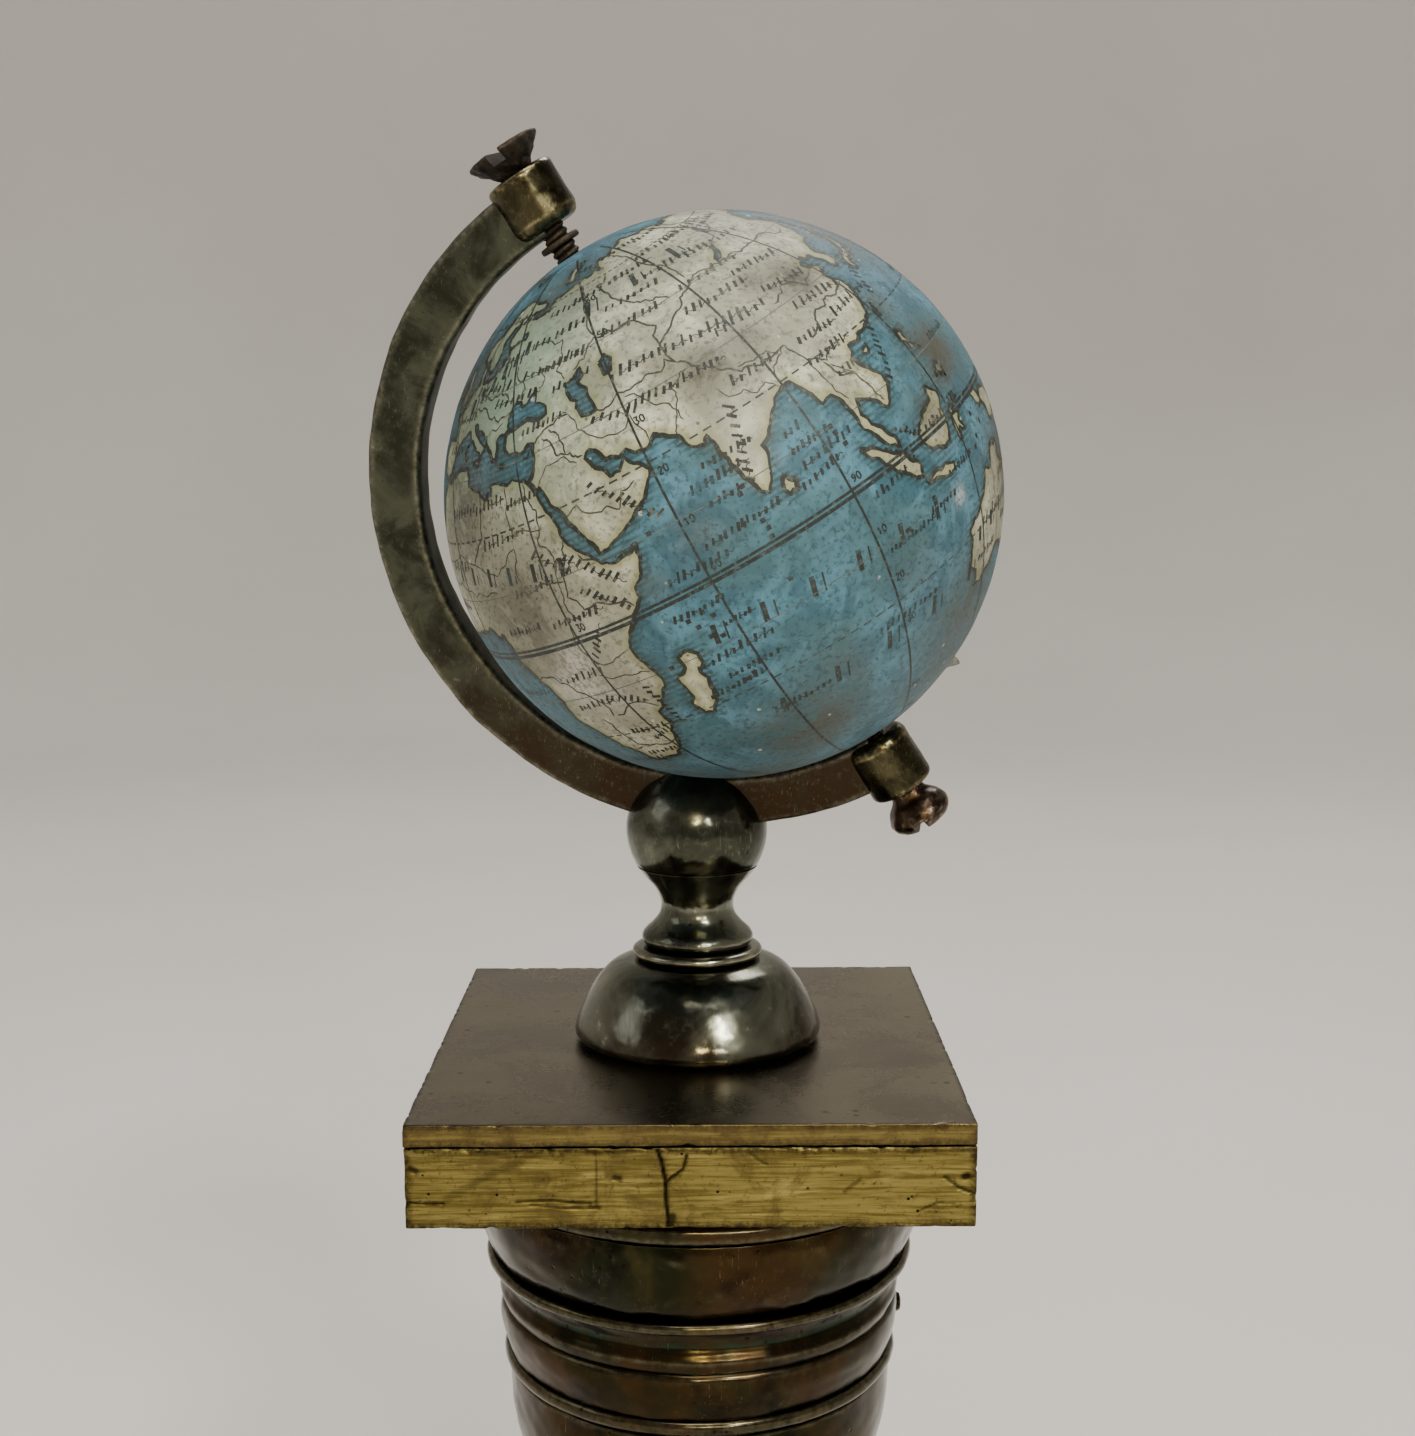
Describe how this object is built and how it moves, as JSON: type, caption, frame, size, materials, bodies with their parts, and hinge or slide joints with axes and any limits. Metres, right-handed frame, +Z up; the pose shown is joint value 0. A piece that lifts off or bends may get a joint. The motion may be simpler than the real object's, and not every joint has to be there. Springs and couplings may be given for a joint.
{
  "type": "miniature terrestrial globe on a column stand",
  "caption": "Small paper-skinned terrestrial globe turning on pivot screws in a tilted brass arm, on a turned pillar, a square block and a turned brass column.",
  "frame": {"origin": "on the column's axis, in the plane that the felt pad rests on", "axes": "+Z up along the column, -Y to the front, where the globe leans, +X to the right, where the lower pivot screw is"},
  "size_m": [0.059, 0.0616, 0.1877],
  "materials": {
    "map_paper": "printed and hand-coloured paper under aged varnish, blue-green sea and cream land",
    "moulded_core": "moulded paper pulp with plaster",
    "bush_brass": "worn brass",
    "arm_brass": "dark olive patina, reddish lower down, rubbed edges",
    "pillar_brass": "dark polished brass with rubbed highlights",
    "plate_brass": "brown, semi-gloss, scratched",
    "brushed_brass": "yellow, brushed lengthways, pitted and scratched",
    "column_bronze": "dark bronze brown with green tarnish, glossy",
    "rusty_steel": "dark rusty steel",
    "copper_screw": "copper-brown, shiny",
    "steel": "plain",
    "felt": "dark green felt"
  },
  "bodies": {
    "stand": {"meridian_arm": "arm_brass", "arm_pin": "bush_brass", "north_boss": "arm_brass", "south_boss": "arm_brass", "knop": "pillar_brass", "pillar_neck": "pillar_brass", "collar_ring": "pillar_brass", "dome_foot": "pillar_brass", "block_plate": "plate_brass", "block": "brushed_brass", "capital_fillet": "column_bronze", "capital_bowl": "column_bronze", "arris_ring": "column_bronze", "waist": "column_bronze", "capital_pin": "column_bronze", "lower_ring": "column_bronze", "vase": "column_bronze", "stem_ring": "column_bronze", "stem": "column_bronze", "base_ring": "column_bronze", "base_dome": "column_bronze", "base_rim": "column_bronze", "felt_pad": "felt", "tie_rod": "steel", "tie_washer": "steel", "tie_nut": "steel"},
    "globe": {"map_skin": "map_paper", "globe_core": "moulded_core", "north_bush": "bush_brass", "south_bush": "bush_brass"},
    "north_screw": {"north_screw": "rusty_steel", "north_washer": "rusty_steel"},
    "south_screw": {"south_screw": "copper_screw"}
  },
  "joints": [
    {"name": "globe_spin", "type": "hinge", "parent": "stand", "child": "globe", "pos_m": [0.00262, -0.00791, 0.15567], "axis": [-0.535, -0.099, 0.839], "continuous": true},
    {"name": "north_screw_turn", "type": "hinge", "parent": "stand", "child": "north_screw", "pos_m": [0.00262, -0.00791, 0.15567], "axis": [-0.535, -0.099, 0.839], "range_deg": [-180, 180]},
    {"name": "south_screw_turn", "type": "hinge", "parent": "stand", "child": "south_screw", "pos_m": [0.00262, -0.00791, 0.15567], "axis": [0.535, 0.099, -0.839], "range_deg": [-180, 180]}
  ]
}
